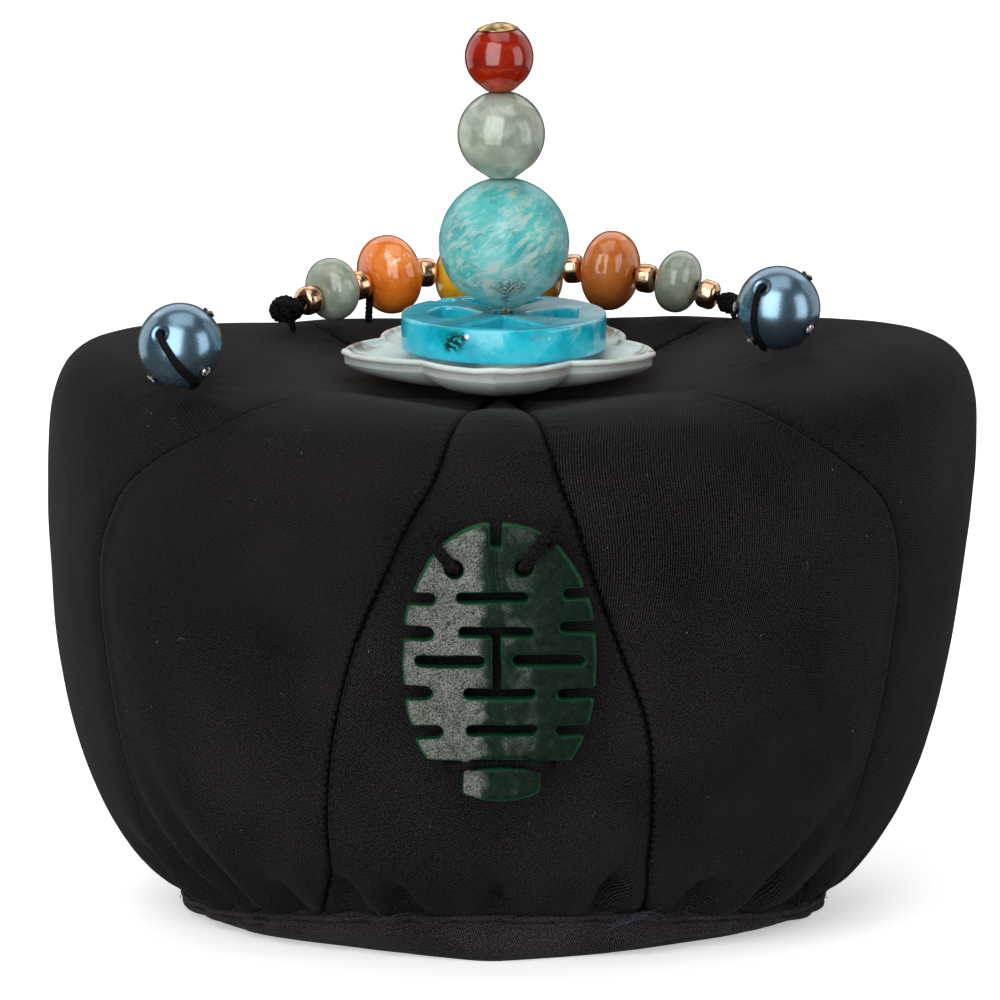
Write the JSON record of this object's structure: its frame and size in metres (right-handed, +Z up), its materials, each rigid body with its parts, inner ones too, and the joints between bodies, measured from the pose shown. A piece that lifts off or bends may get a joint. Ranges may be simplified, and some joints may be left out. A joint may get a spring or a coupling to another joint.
{
  "type": "padded bridal coronet",
  "caption": "Round padded black satin coronet of stuffed gores over an open hollow, with a stone bead finial, a pierced jade plaque, pearl buttons and a bead strand.",
  "frame": {"origin": "middle of the underside of the box round the whole coronet, on the surface that it rests on", "axes": "+Z up along the finial, -Y towards the front with the plaque, +X to the viewer's right"},
  "size_m": [0.1632, 0.1494, 0.1581],
  "materials": {
    "black_satin": "black polyester satin with a fine diagonal weave over soft padding",
    "celadon_jade": "polished pale celadon jade with a warm brown line along the petal rims",
    "turquoise": "polished turquoise with a chalky top and dark matrix spots",
    "amazonite": "polished amazonite with white and beige streaks and brown cracks",
    "pale_green_stone": "polished translucent pale green stone",
    "carnelian": "polished translucent carnelian",
    "gilt_brass": "polished brass cap with a dark rim",
    "copper_gilt": "polished rose gold plated metal",
    "dark_green_jade": "dark green jade, polished and finely pitted",
    "blue_pearl": "steel blue pearl lacquer on a bead",
    "clear_crystal": "small faceted clear stones with foiled backs",
    "orange_stone": "polished orange stone with pale flecks",
    "amber_stone": "polished amber yellow stone",
    "black_cord": "black braided thread and elastic"
  },
  "bodies": {
    "root": {"finial_amazonite": "amazonite", "finial_aventurine": "pale_green_stone", "finial_cap": "gilt_brass", "finial_carnelian": "carnelian", "finial_post": "copper_gilt", "flower_plate": "celadon_jade", "gore_back": "black_satin", "gore_back_left": "black_satin", "gore_back_right": "black_satin", "gore_front": "black_satin", "gore_front_left": "black_satin", "gore_front_right": "black_satin", "gore_side_left": "black_satin", "gore_side_right": "black_satin", "hem_band": "black_satin", "jade_plaque": "dark_green_jade", "pearl_cord_left": "black_cord", "pearl_cord_right": "black_cord", "pearl_left": "blue_pearl", "pearl_right": "blue_pearl", "plaque_tie_bottom": "black_cord", "plaque_tie_left": "black_cord", "plaque_tie_right": "black_cord", "rhinestone_left_1": "clear_crystal", "rhinestone_left_2": "clear_crystal", "rhinestone_left_3": "clear_crystal", "rhinestone_left_4": "clear_crystal", "rhinestone_left_5": "clear_crystal", "rhinestone_right_1": "clear_crystal", "rhinestone_right_2": "clear_crystal", "rhinestone_right_3": "clear_crystal", "rhinestone_right_4": "clear_crystal", "rhinestone_right_5": "clear_crystal", "strand_bead_10_orange": "orange_stone", "strand_bead_11_spacer": "copper_gilt", "strand_bead_12_green": "pale_green_stone", "strand_bead_13_spacer": "copper_gilt", "strand_bead_1_spacer": "copper_gilt", "strand_bead_2_green": "pale_green_stone", "strand_bead_3_spacer": "copper_gilt", "strand_bead_4_orange": "orange_stone", "strand_bead_5_spacer": "copper_gilt", "strand_bead_6_amber": "amber_stone", "strand_bead_7_spacer": "copper_gilt", "strand_bead_8_amber": "amber_stone", "strand_bead_9_spacer": "copper_gilt", "strand_thread": "black_cord", "turquoise_wheel": "turquoise"}
  },
  "joints": []
}
